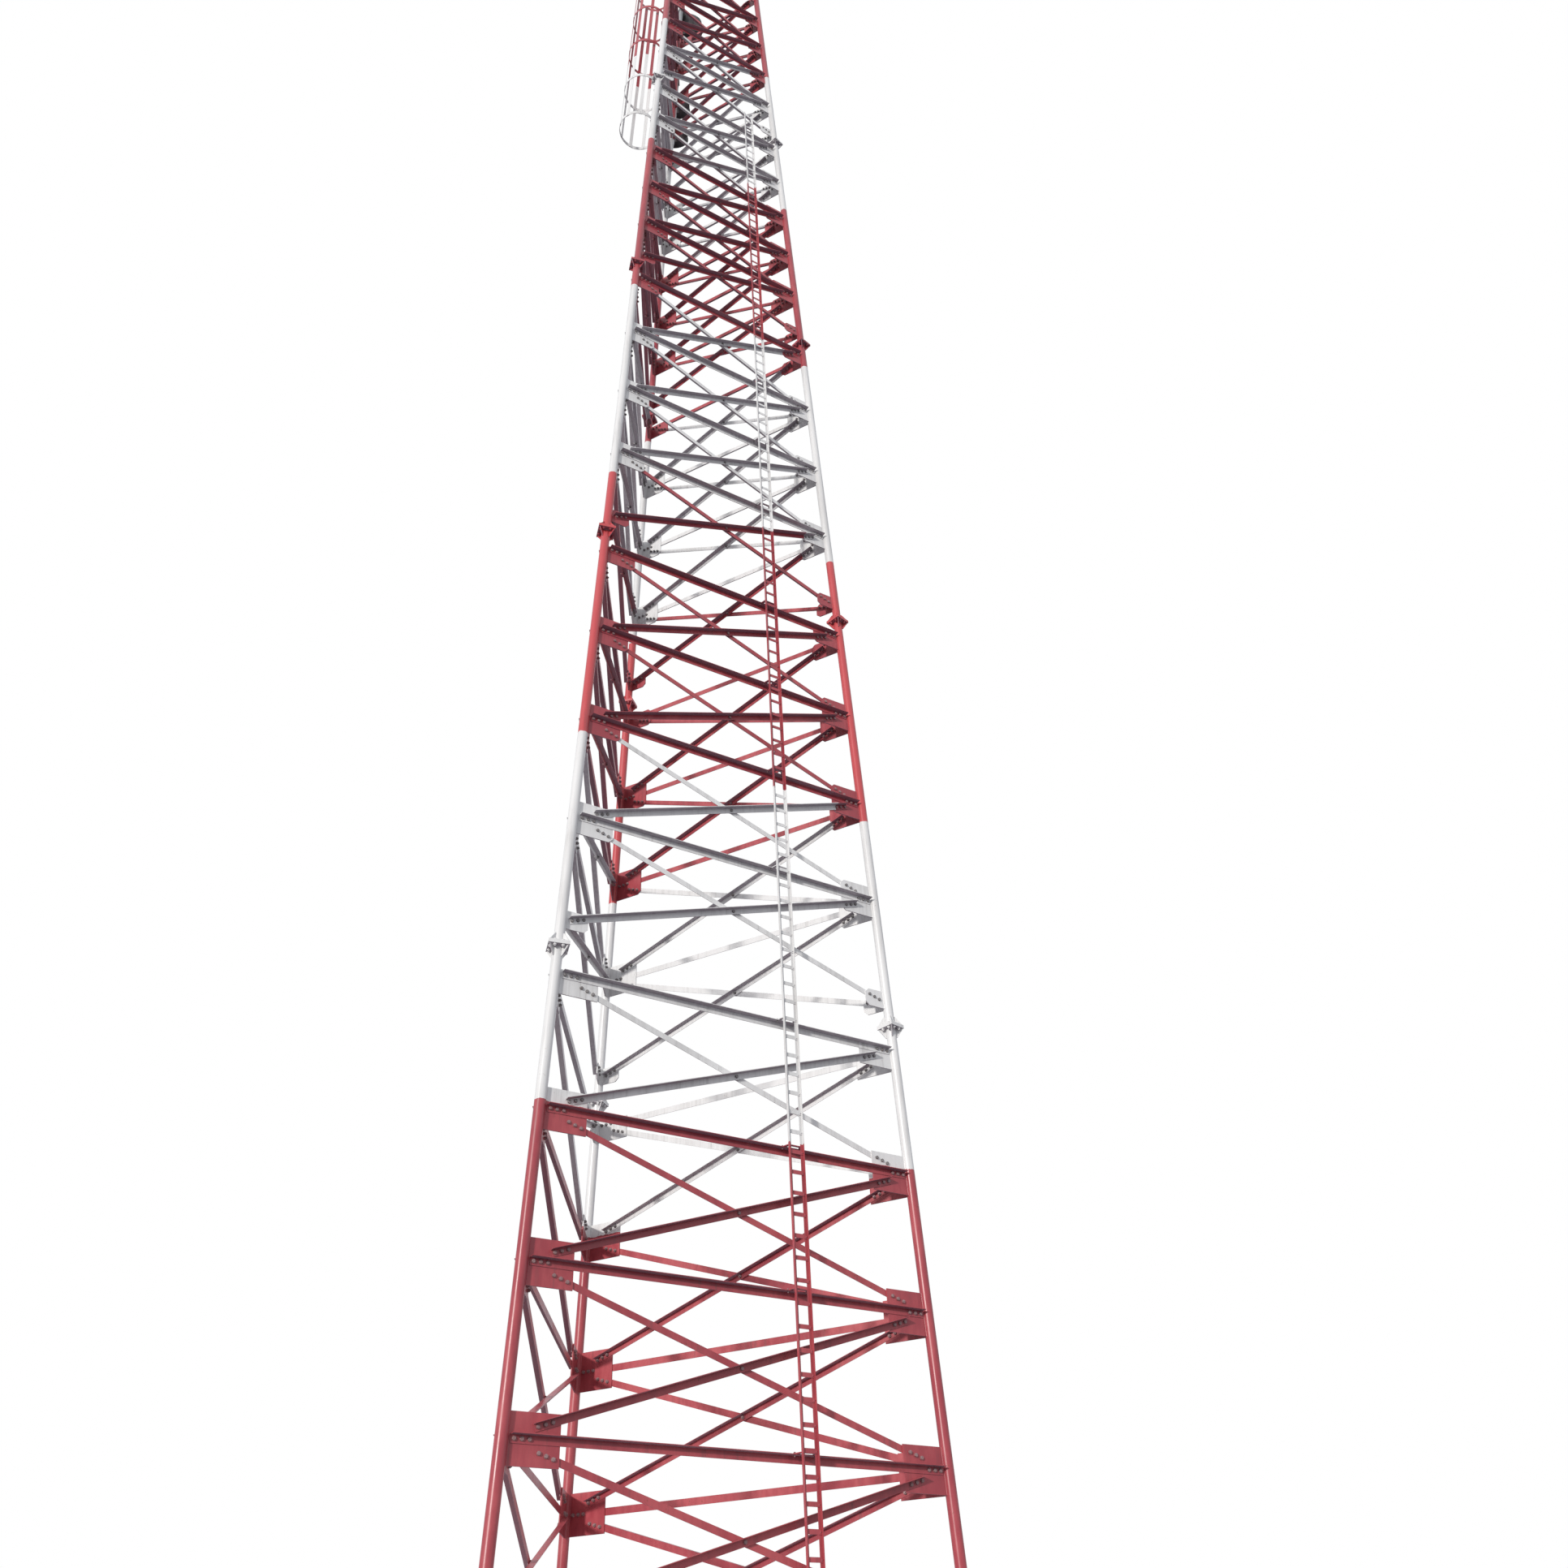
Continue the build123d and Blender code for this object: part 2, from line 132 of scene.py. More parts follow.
def leg_distance(here):
    """Level distance from a point to the nearest leg's axis, whose reach shrinks with height."""
    x, y, z = [here.part(order) for order in range(3)]
    reach = foot_radius - leg_taper * z
    spans = []
    for angle in leg_angles:
        east = x - (reach * math.cos(angle) + mast_axis[0])
        north = y - (reach * math.sin(angle) + mast_axis[1])
        spans.append((east * east + north * north).math("SQRT"))
    return spans[0].math("MINIMUM", spans[1]).math("MINIMUM", spans[2])


def blank_material(name):
    """New material, with its shader and the place on the object as a signal."""
    material = bpy.data.materials.new(name)
    material.use_nodes = True
    shader = material.node_tree.nodes["Principled BSDF"]
    return material, shader, Signal(material.node_tree).add("ShaderNodeTexCoord", {}, {}, "Object")


def weathered_paint(name, edges, wear, bar=None, fresh=0.0):
    """Old brush paint on steel: red up to the first edge, white to the next, and so on. A bar has
    one share of white along its length, and the edges' bands where it lies near a leg, within
    the reach of the gussets. Wear scales the rust and the grime. Fresh is the share of bright
    new red in the second red band. Faces that look down take a purple-grey film: partly dust
    that rain never washes off, partly painted shade, the cool tint of shade on the undersides."""
    material, shader, here = blank_material(name)
    height = here.part(2)
    cloud = here.noise((1.3, 1.3, 0.5), 4)
    brush = here.noise((16, 16, 5), 3)
    streak = here.noise((26, 26, 0.9), 5, 0.65)
    speck = here.noise((55, 55, 38), 3)
    patch = here.noise((3.1, 3.1, 2.3), 3)
    fading = (0.65 * cloud + 0.35 * brush).step(0.38, 0.64)
    renewed = fresh * (height.step(*renewed_start) - height.step(*renewed_end))
    red = renewed.blend(fading.blend(old_red, faded_red), fresh_red)
    white = (0.6 * cloud + 0.4 * streak).step(0.42, 0.66).blend(clean_white, chalky_white)
    share = odd_band(height + (brush - 0.5) * 0.03, edges)
    if bar is not None:
        near = leg_distance(here).math("LESS_THAN", gusset_reach)
        share = near * (share - bar) + bar
    paint = share.blend(red, white)
    dirt = streak.step(0.50, 0.78) * patch.step(0.35, 0.62) * (0.50 - 0.28 * share) * wear
    pits = speck.step(0.63, 0.72) * patch.step(0.50, 0.66) * (0.9 - 0.45 * share) * wear
    # Painted shade: the purple-grey film on the undersides is partly dust and partly the tint of shade
    # painted into the colour.
    normal = here.add("ShaderNodeTexCoord", {}, {}, "Normal")
    underside_dust_and_shade = (0 - normal.part(2)).step(0.10, 0.65) * (0.44 + 0.40 * streak)
    stained_and_shaded = underside_dust_and_shade.blend(dirt.blend(paint, grime), dust_and_shade_tint)
    pits.blend(stained_and_shaded, rust).into(shader.inputs["Base Color"])
    gloss = 0.29 + 0.14 * fading + 0.24 * dirt + 0.30 * pits + 0.40 * underside_dust_and_shade
    gloss.into(shader.inputs["Roughness"])
    relief = brush * 0.5 + speck * 0.2 - pits * 0.8
    relief.bump(0.35, 0.002).into(shader.inputs["Normal"])
    return material


def coat(material, *names):
    """Give solids of the frame their finished paint or metal."""
    for name in names:
        for index in range(len(nodes[name].material_slots)):
            nodes[name].material_slots[index].material = material


leg_paint = weathered_paint("leg_paint", leg_edges, 0.8, fresh=0.75)
coat(leg_paint, "left_leg", "right_leg", "back_leg")

# Foot plates: thick square steel plates under the legs, with four ribs each and holes for
# the anchor bolts of the footing. They are welded on and left hot-dip galvanised.


def galvanised(name, light, dark, bare, edges=None):
    """Zinc on steel: patches of crystals in two greys, with rust where the zinc is thin. Bare is
    the share of metal in the shine, which falls as the zinc goes dull and chalky. Edges, where
    given, bound the bands in which red paint has been brushed thinly over the zinc."""
    material, shader, here = blank_material(name)
    crystals = here.add("ShaderNodeTexVoronoi", {}, {"Vector": here, "Scale": 90.0})
    cloud = here.noise((7, 7, 3), 4)
    streak = here.noise((30, 30, 1.5), 4)
    tone = (0.5 * crystals + 0.6 * cloud).step(0.2, 0.75)
    stain = streak.step(0.58, 0.75) * 0.6
    metal = stain.blend(tone.blend(light, dark), rust)
    if edges is not None:
        metal = (0.30 - 0.30 * odd_band(here.part(2), edges)).blend(metal, faded_red)
    metal.into(shader.inputs["Base Color"])
    (0.42 + 0.2 * cloud + 0.2 * stain).into(shader.inputs["Roughness"])
    (bare - bare * stain).into(shader.inputs["Metallic"])
    (crystals * 0.4 + cloud).bump(0.25, 0.001).into(shader.inputs["Normal"])
    return material


dull_zinc = galvanised("dull_zinc", (0.470, 0.480, 0.490, 1), (0.270, 0.275, 0.285, 1), 0.7)
coat(dull_zinc, "foot_plates")

# Splices: pairs of square plates that close each section's ends, with a corner to the outside,
# tapering ribs to the corners, and two high-strength bolts to a side, painted with the legs.
splice_thickness = 0.020
splice_bolt_offset = 0.082
splice_bolt_spread = 0.040
splice_weld = 0.010
foot_thickness = 0.025
foot_weld = 0.012
bolt_sides = 12
bolt_flat = 0.030
washer_radius = 0.0185
washer_steel = 0.003
head_height = 0.014
crown_height = 0.016
nut_height = 0.019
shank_radius = 0.010
shank_end = 0.028
coat(leg_paint, "splice_lower_plates", "splice_upper_plates", "top_plates")


def leg_point(leg, height):
    """Point on a leg's axis: the leg's direction times its reach at that height."""
    reach = foot_radius - leg_taper * height
    way = np.array([math.cos(leg_angles[leg]), math.sin(leg_angles[leg]), 0])
    return mast_axis + reach * way + np.array([0, 0, height])


def turned(rows, count, hexed=(), closed=True):
    """Shape turned round z in so many steps: each row is a radius and a height, and the last row
    may be closed by a flat end. On hexed rows the radius grows by one over the cosine of the
    angle from the nearest flat."""
    turn = np.arange(count) * 2 * math.pi / count
    rows = np.asarray(rows, float)
    radius = np.repeat(rows[:, :1], count, 1)
    radius[list(hexed)] /= np.cos((turn + math.pi / 6) % (math.pi / 3) - math.pi / 6)
    height = np.repeat(rows[:, 1:], count, 1)
    points = np.stack([radius * np.cos(turn), radius * np.sin(turn), height], -1).reshape(-1, 3)
    step = np.arange(count)
    after = (step + 1) % count
    base = np.arange(len(rows) - 1)[:, None] * count
    faces = np.stack([base + step, base + after, base + count + after, base + count + step], -1)
    faces = faces.reshape(-1, 4)
    if closed:
        odd = np.arange(1, count - 2, 2)
        end = np.stack([0 * odd, odd, odd + 1, odd + 2], -1) + count * (len(rows) - 1)
        faces = np.concatenate([faces, end])
    return points, faces


def bolt_head():
    """Washer and hexagon head with a slightly raised top."""
    flat = bolt_flat / 2
    rows = [(washer_radius, 0), (washer_radius, washer_steel), (flat, washer_steel),
            (flat, head_height), (shank_radius, crown_height)]
    return turned(rows, bolt_sides, (2, 3))


def bolt_nut():
    """Washer, hexagon nut and the end of the shank standing out of it."""
    flat = bolt_flat / 2
    rows = [(washer_radius, 0), (washer_radius, washer_steel), (flat, washer_steel),
            (flat, nut_height), (shank_radius, nut_height), (shank_radius, shank_end)]
    return turned(rows, bolt_sides, (2, 3))


def weld_ring(radius, size):
    """Fillet weld round a tube: a hollow slope from the plate up to the tube."""
    hollow = 0.35 * size
    return turned([(radius + size, 0), (radius + hollow, hollow), (radius, size)], 24, (), False)


def spread(shape, places, across, upward, outward):
    """Copies of one small shape: every copy is its place plus x, y and z times its own axes."""
    points, faces = shape
    moved = (
        places[:, None]
        + points[None, :, :1] * across[:, None]
        + points[None, :, 1:2] * upward[:, None]
        + points[None, :, 2:] * outward[:, None]
    )
    shift = len(points) * np.arange(len(places))[:, None, None]
    return moved.reshape(-1, 3), (faces[None] + shift).reshape(-1, faces.shape[1])


def alike(count, *axes):
    """The same axes for each of so many copies."""
    return [np.tile(axis, (count, 1)) for axis in axes]


def placed(name, data):
    """New object in the scene, from a mesh, a lamp or a camera."""
    piece = bpy.data.objects.new(name, data)
    bpy.context.scene.collection.objects.link(piece)
    return piece


def build(name, shapes, material, smooth=False):
    """One object from several arrays of points and faces, riding on the mast."""
    starts = np.cumsum([0] + [len(points) for points, faces in shapes])
    points = np.concatenate([points for points, faces in shapes])
    faces = [face for start, shape in zip(starts, shapes) for face in (shape[1] + start).tolist()]
    mesh = bpy.data.meshes.new(name)
    mesh.from_pydata(points.tolist(), [], faces)
    mesh.polygons.foreach_set("use_smooth", np.full(len(faces), smooth))
    mesh.materials.append(material)
    piece = placed(name, mesh)
    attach(piece, "root")


def leg_axes(leg, turn=0.0):
    """Directions at a leg: out from the mast and turned by an angle, sideways, and along the leg."""
    axis = leg_point(leg, 1.0) - leg_point(leg, 0.0)
    axis /= np.linalg.norm(axis)
    angle = leg_angles[leg] + turn
    way = np.array([math.cos(angle), math.sin(angle), 0])
    way = way - axis * (way @ axis)
    way /= np.linalg.norm(way)
    return way, np.cross(axis, way), axis


def splice_fittings():
    """Eight bolts to a splice, two along each side of its plates, and the welds that hold the
    plates on the tubes, with the welds of the foot plates and of the top plates."""
    places, axes, tops, top_axes, feet = [], [], [], [], []
    for leg in range(3):
        way, side, axis = leg_axes(leg)
        edges = [math.sqrt(0.5) * (way + side), math.sqrt(0.5) * (side - way)]
        edges += [-edges[0], -edges[1]]
        for height in section_height * np.arange(1, section_count + 1):
            tops.append(leg_point(leg, height))
            top_axes.append((way, side, axis))
            for edge in edges if height < section_height * section_count else []:
                for share in (-1, 1):
                    beside = share * splice_bolt_spread * np.cross(axis, edge)
                    places.append(leg_point(leg, height) + splice_bolt_offset * edge + beside)
                    axes.append((way, side, axis))
        feet.append(leg_point(leg, foot_thickness))
    places, tops = np.array(places), np.array(tops)
    way, side, axis = np.array(axes).transpose(1, 0, 2)
    heads = spread(bolt_head(), places + splice_thickness * axis, way, side, axis)
    nuts = spread(bolt_nut(), places - splice_thickness * axis, way, -side, -axis)
    way, side, axis = np.array(top_axes).transpose(1, 0, 2)
    ring = weld_ring(leg_radius, splice_weld)
    below = spread(ring, tops - splice_thickness * axis, way, -side, -axis)
    joined = tops[:, 2] < section_height * section_count - 0.1
    seats = (tops + splice_thickness * axis)[joined]
    above = spread(ring, seats, way[joined], side[joined], axis[joined])
    foot = spread(weld_ring(leg_radius, foot_weld), np.array(feet), *alike(3, *np.eye(3)))
    return [heads, nuts], [below, above, foot]


worn_paint = weathered_paint("worn_bolt_paint", leg_edges, 1.4)
splice_bolts, splice_welds = splice_fittings()
build("splice_bolts", splice_bolts, worn_paint)
build("splice_welds", splice_welds, leg_paint, True)

# Gussets: flat plates in the plane of each side, cut from sheet and welded to the legs, that
# take the ends of the girts and braces. Each is painted whole, in the band that it lies in.
gusset_edges = (4.39, 8.50, 13.10, 17.30, 21.80, 26.00)
gusset_thickness = 0.012
gusset_edge = 0.024
gusset_root = 0.060
gusset_weld = 0.009
weld_overlap = 0.001
tube_lean = 1.0009
sides = ("front", "right", "left")
bolt_run = 0.190
girt_width = 0.070
outer_width = 0.065
brace_gap = 0.018
foot_end_gap = 0.020
face_cosine = math.cos(math.atan(leg_taper / 2))
foot_level = 0.276
girt_levels = [[1.580, 2.952, 4.324, 5.696]] * 3 + [[1.260, 2.380, 3.500, 4.620, 5.740]] * 2
sections = [
    [section_height * order + level for level in [foot_level] + levels]
    for order, levels in enumerate(girt_levels)
]
panels = [
    (low, high, order == 0)
    for levels in sections
    for order, (low, high) in enumerate(zip(levels[:-1], levels[1:]))
]
gusset_paint = weathered_paint("gusset_paint", gusset_edges, 1.0)
coat(gusset_paint, *[f"{name}_gussets" for name in sides])


def half_width(height):
    """Half the distance between two leg axes at a height."""
    return (foot_radius - leg_taper * height) * math.cos(math.radians(30))


def face_axes(face):
    """Origin of a side between two feet, its way along, up the slope, and out of the mast."""
    first, second = face, (face + 1) % 3
    origin = (leg_point(first, 0) + leg_point(second, 0)) / 2
    along = leg_point(second, 0) - leg_point(first, 0)
    along /= np.linalg.norm(along)
    upward = (leg_point(first, 1) + leg_point(second, 1)) / 2 - origin
    upward /= np.linalg.norm(upward)
    return origin, along, upward, np.cross(along, upward)


def on_face(face, flat):
    """Points of a side, from distances along it, up it and out of it."""
    origin, along, upward, outward = face_axes(face)
    return origin + flat[:, :1] * along + flat[:, 1:2] * upward + flat[:, 2:] * outward


def slope(low, high):
    return math.atan((high - low) / face_cosine / (half_width(low) + half_width(high)))


def setback(low, high, at_foot):
    """Distance along a brace from the leg's axis to its end, clear of the leg or of the girt."""
    angle = slope(low, high)
    if at_foot:
        return (leg_radius + foot_end_gap + outer_width / 2 * math.sin(angle)) / math.cos(angle)
    return (girt_width / 2 + outer_width / 2 + brace_gap) / math.sin(angle)


def weld_beads(face):
    """Fillet welds between the gussets and the legs: a quarter round carried up each root edge,
    swollen a little by a sine along its length as the runs of the weld overlap. The root lies
    the tube's radius, stretched by its lean, from the leg's axis."""
    reach = gusset_edge + outer_width / 2
    stations, steps = 12, 4
    bend = np.linspace(0, math.pi / 2, steps)
    cell = (np.arange(stations - 1)[:, None] * steps + np.arange(steps - 1)).ravel()
    quads = np.stack([cell, cell + 1, cell + steps + 1, cell + steps], -1)
    shapes = []
    for levels in sections:
        for order, height in enumerate(levels):
            drop = rise = gusset_root
            if order:
                pair = (levels[order - 1], height)
                drop = (setback(*pair, False) + bolt_run) * math.sin(slope(*pair)) + reach
            if order + 1 < len(levels):
                pair = (height, levels[order + 1])
                rise = (setback(*pair, order == 0) + bolt_run) * math.sin(slope(*pair)) + reach
            run = np.linspace(height - drop * face_cosine, height + rise * face_cosine, stations)
            root = (leg_radius * tube_lean - half_width(run))[:, None]
            swell = gusset_weld * (1 + 0.12 * np.sin(np.arange(stations) * 2.3))[:, None]
            along = root + swell * (1 - np.sin(bend)) - weld_overlap
            out = gusset_thickness / 2 + swell * (1 - np.cos(bend)) - weld_overlap
            up = np.repeat(run[:, None] / face_cosine, steps, 1)
            for side in (1, -1):
                for front in (1, -1):
                    flat = np.stack([side * along, up, front * out], -1).reshape(-1, 3)
                    faces = quads[:, ::-1] if side * front > 0 else quads
                    shapes.append((on_face(face, flat), faces))
    return shapes


for face, name in enumerate(sides):
    build(f"{name}_welds", weld_beads(face), gusset_paint, True)

# Girts and braces: hot rolled angle steel, girts level on the outside of the gussets, braces
# crossing in every panel, one outside and one inside. Each bar is painted whole in its band,
# but for its ends, which were painted with the gussets.
red_paint = weathered_paint("red_paint", gusset_edges, 1.0, 0.0)
white_paint = weathered_paint("white_paint", gusset_edges, 1.0, 1.0)
for name in sides:
    coat(red_paint, *[f"{name}_bracing_{band}" for band in (1, 3, 5, 7)])
    coat(white_paint, *[f"{name}_bracing_{band}" for band in (2, 4, 6)])

# Bracing bolts: three in a row at every end of a girt or brace, and one through a packing
# plate where two braces cross. They are galvanised, have gone dull in the weather, and carry
# a thin coat of red in the red bands.
girt_steel = 0.006
outer_steel = 0.006
inner_steel = 0.005
girt_end_gap = 0.015
bolt_first = 0.030
bolt_pitch = 0.065
bolt_count = 3
packing_half = 0.030


def crossing(low, high):
    """Distance up a side at which a panel's braces cross, by the side's widths below and above."""
    share = half_width(low) / (half_width(low) + half_width(high))
    return (low + share * (high - low)) / face_cosine


def bar_bolts():
    """Places of the bolts on a flat side, with the heights of their two seats off its plane."""
    rows = bolt_first + bolt_pitch * np.arange(bolt_count)
    found = []
    plate = gusset_thickness / 2
    for levels in sections:
        for height in levels[1:]:
            inset = leg_radius + girt_end_gap + rows
            for side in (1, -1):
                along = side * (inset - half_width(height))
                flat = np.stack([along, np.full(bolt_count, height / face_cosine)], -1)
                found.append((flat, plate + girt_steel, -plate))
    for low, high, at_foot in panels:
        for outer in (True, False):
            first, second = (low, high) if outer else (high, low)
            start = np.array([-half_width(first), first / face_cosine])
            end = np.array([half_width(second), second / face_cosine])
            way = (end - start) / np.linalg.norm(end - start)
            lower = (setback(low, high, at_foot) + rows)[:, None] * way
            upper = (setback(low, high, False) + rows)[:, None] * way
            seats = (plate + outer_steel, -plate) if outer else (plate, -plate - inner_steel)
            found.append((start + (lower if outer else upper), *seats))
            found.append((end - (upper if outer else lower), *seats))
            if outer:
                cross = np.array([[0, crossing(low, high)]])
                found.append((cross, plate + outer_steel, -plate - inner_steel))
    places = np.concatenate([flat for flat, front, rear in found])
    front = np.concatenate([np.full(len(flat), front) for flat, front, rear in found])
    rear = np.concatenate([np.full(len(flat), rear) for flat, front, rear in found])
    return places, front, rear


def packing_plates(face):
    """Square plates between two crossing braces, as thick as the gussets that hold them apart."""
    half = np.array([packing_half, packing_half, gusset_thickness / 2])
    corners = np.array([[x, y, z] for z in (-1, 1) for y in (-1, 1) for x in (-1, 1)]) * half
    faces = np.array(
        [[0, 2, 3, 1], [4, 5, 7, 6], [0, 1, 5, 4], [2, 6, 7, 3], [0, 4, 6, 2], [1, 3, 7, 5]]
    )
    middles = np.array([[0, crossing(low, high), 0] for low, high, _ in panels])
    axes = alike(len(middles), *face_axes(face)[1:])
    return spread((corners, faces), on_face(face, middles), *axes)


worn_zinc = galvanised(
    "worn_zinc", (0.370, 0.352, 0.350, 1), (0.180, 0.170, 0.172, 1), 0.15, gusset_edges
)
bolt_places, front_seat, rear_seat = bar_bolts()
for face, name in enumerate(sides):
    along, upward, outward = face_axes(face)[1:]
    axes = alike(len(bolt_places), along, upward, outward)
    heads = spread(bolt_head(), on_face(face, np.column_stack([bolt_places, front_seat])), *axes)
    axes = alike(len(bolt_places), along, -upward, -outward)
    nuts = spread(bolt_nut(), on_face(face, np.column_stack([bolt_places, rear_seat])), *axes)
    build(f"{name}_bolts", [heads, nuts], worn_zinc)
    build(f"{name}_packing_plates", [packing_plates(face)], worn_paint)

# Cable ladder: two angle rails with flat rungs riveted across them, standing off the front side
# on forked plates that are bolted down on the girts, and painted in the same bands.
cable_standoff = 0.130
cable_half = 0.0825
cable_place = 0.588
cable_lean = 0.001
cable_foot = 0.300
cable_top = 24.250
cable_pitch = 0.205
rail_width = 0.030
rung_front = 0.009
bracket_steel = 0.008
bracket_seat = 0.051
bracket_flare = 0.021
bracket_bolt_share = 0.6
rivet_rows = [(0.0085, 0), (0.0070, 0.0035), (0.0035, 0.0055)]
ladder_paint = weathered_paint("ladder_paint", leg_edges, 0.8)
coat(ladder_paint, "cable_ladder_rails", "cable_ladder_rungs", "cable_ladder_brackets")


def rivet():
    """Low round head of a rivet."""
    return turned(rivet_rows, 8)


def cable_rivets():
    """A rivet at both ends of every rung, with a head in front of the rung and one behind the rail."""
    origin, along, upward, outward = face_axes(0)
    rise = upward - cable_lean * along
    rise /= np.linalg.norm(rise)
    across = np.cross(rise, outward)
    count = int((cable_top - cable_foot) / cable_pitch)
    height = cable_foot + cable_pitch * (np.arange(count) + 0.5)
    shapes = []
    for side in (1, -1):
        inset = side * (cable_half - rail_width / 2)
        row = origin + cable_place * along + inset * across + height[:, None] * rise
        axes = alike(count, along, upward, outward)
        shapes.append(spread(rivet(), row + (cable_standoff + rung_front) * outward, *axes))
        axes = alike(count, along, -upward, -outward)
        shapes.append(spread(rivet(), row + cable_standoff * outward, *axes))
    return shapes


def bracket_bolts(face, half, rows):
    """Small bolts that hold a ladder's brackets down on the girts of a side, one to an arm. Each
    row is the ladder's place along the side and the girt's height."""
    along, upward, outward = [bracket_bolt_share * axis for axis in face_axes(face)[1:]]
    top, bottom = [], []
    for place, height in rows:
        for side in (1, -1):
            upper = height / face_cosine + girt_width / 2
            foot = [place + side * (half + bracket_flare), upper, bracket_seat]
            top.append(np.add(foot, [0, bracket_steel, 0]))
            bottom.append(np.add(foot, [0, -girt_steel, 0]))
    axes = alike(len(top), outward, along, upward)
    heads = spread(bolt_head(), on_face(face, np.array(top)), *axes)
    axes = alike(len(bottom), along, outward, -upward)
    nuts = spread(bolt_nut(), on_face(face, np.array(bottom)), *axes)
    return [heads, nuts]


girt_heights = [height for levels in sections for height in levels[1:]]
build("cable_ladder_rivets", cable_rivets(), worn_paint)
cable_girts = [
    (cable_place - cable_lean * height, height)
    for height in girt_heights
    if cable_foot < height < cable_top
]
build("cable_bracket_bolts", bracket_bolts(0, cable_half, cable_girts), worn_zinc)

# Caged ladder: flat stiles with round rungs welded between them, and a cage of flat hoops with
# straps riveted inside, on forked plates that are bolted down on the left side's girts.
climb_place = 0.247
climb_foot = 23.500
climb_half = 0.200
climb_standoff = 0.110
stile_depth = 0.060
stile_steel = 0.010
rung_radius = 0.011
rung_weld = 0.005
rung_pitch = 0.300
hoop_foot = 24.000
hoop_pitch = 1.340
hoop_count = 5
hoop_radius = 0.350
hoop_reach = 0.780
hoop_height = 0.080
strap_inside = 0.3377
strap_angles = np.radians(90 + 40 * (np.arange(6) - 2.5))
cage_edges = leg_edges[:-1] + (26.18,)
cage_paint = weathered_paint("cage_paint", cage_edges, 0.8)
coat(cage_paint, "ladder_stiles", "ladder_rungs", "ladder_brackets", "cage_hoops", "cage_straps")


def rung_welds():
    """Weld collars at both ends of every rung, where it meets the stiles."""
    along, upward, outward = face_axes(2)[1:]
    top = section_height * section_count
    count = int((top - climb_foot) / rung_pitch)
    height = climb_foot + rung_pitch * (np.arange(count) + 0.5)
    middle = climb_standoff + stile_depth / 2
    shapes = []
    for side in (1, -1):
        place = climb_place + side * (climb_half - stile_steel / 2)
        flat = np.column_stack([np.full(count, place), height, np.full(count, middle)])
        ways = (outward, upward, -along) if side > 0 else (upward, outward, along)
        ring = weld_ring(rung_radius, rung_weld)
        shapes.append(spread(ring, on_face(2, flat), *alike(count, *ways)))
    return shapes


def strap_rivets():
    """Two rivets where each strap crosses a hoop: a head on the hoop, and one inside the strap."""
    along, upward, outward = face_axes(2)[1:]
    centre = hoop_reach - hoop_radius
    shapes = []
    for radius, way in ((hoop_radius, 1), (strap_inside, -1)):
        flat, axes = [], []
        for height in hoop_foot + hoop_pitch * np.arange(hoop_count):
            for angle in strap_angles:
                radial = math.cos(angle) * along + math.sin(angle) * outward
                tangent = math.cos(angle) * outward - math.sin(angle) * along
                for lift in (0.25 * hoop_height, 0.75 * hoop_height):
                    spot = [climb_place + radius * math.cos(angle), height + lift]
                    flat.append(spot + [centre + radius * math.sin(angle)])
                    axes.append((upward, way * tangent, way * radial))
        axes = np.array(axes).transpose(1, 0, 2)
        shapes.append(spread(rivet(), on_face(2, np.array(flat)), *axes))
    return shapes


build("rung_welds", rung_welds(), cage_paint, True)
build("strap_rivets", strap_rivets(), cage_paint)
climb_girts = [(climb_place, height) for height in girt_heights if height > climb_foot]
climb_bolts = bracket_bolts(2, climb_half + stile_steel / 2, climb_girts)
build("ladder_bracket_bolts", climb_bolts, worn_zinc)

# Drum antennas: spun shells with a straight shroud, a stretched cover and a clamping band, held
# by bent rods on galvanised pipes that are clamped to the back leg or stand on its top plate.
# Painted shade: both greys of the drum shells are darkened to stand in for the shade the drums hang in.
shaded_shell_grey = (0.078, 0.069, 0.073, 1)
shaded_shell_dark = (0.036, 0.031, 0.034, 1)
antenna_turn = math.radians(-30)
pipe_radius = 0.038
pipe_reach = 0.260
pipe_drop = 3.600
pipe_length = 2.400
arm_inset = 0.200
arm_steel = 0.014
post_radius = 0.0445
small_drum = (0.280, 0.300)
large_drum = (0.450, 0.460)
large_drum_rise = 1.100
drum_shares = (0.29, 0.73)
post_weld = 0.010
band_share = 0.94
band_width = 0.034
band_steel = 0.006
band_bevel = 0.002
band_bolts = 8
band_bolt_share = 0.5
collar_half = 0.026
rod_radius = 0.006
rod_sides = 8


def drum_shell_paint(name):
    """Grey powder coat, dull and dusty: two dark greys mixed by a slow noise, rough in fine grain.
    Both greys are darkened as painted shade, for the shade the drums hang in.
    """
    material, shader, here = blank_material(name)
    cloud = here.noise((5, 5, 2), 4)
    grain = here.noise((300, 300, 300), 2)
    cloud.step(0.35, 0.7).blend(shaded_shell_grey, shaded_shell_dark).into(shader.inputs["Base Color"])
    (0.5 + 0.25 * cloud).into(shader.inputs["Roughness"])
    shader.inputs["Specular IOR Level"].default_value = 0.25
    grain.bump(0.2, 0.001).into(shader.inputs["Normal"])
    return material


def hoop(radius, low, high, count):
    """Flat band round a tube from one height to another, with bevelled edges."""
    outer = radius + band_steel
    rows = [(radius, low), (outer, low + band_bevel), (outer, high - band_bevel), (radius, high)]
    return turned(rows, count, (), False)


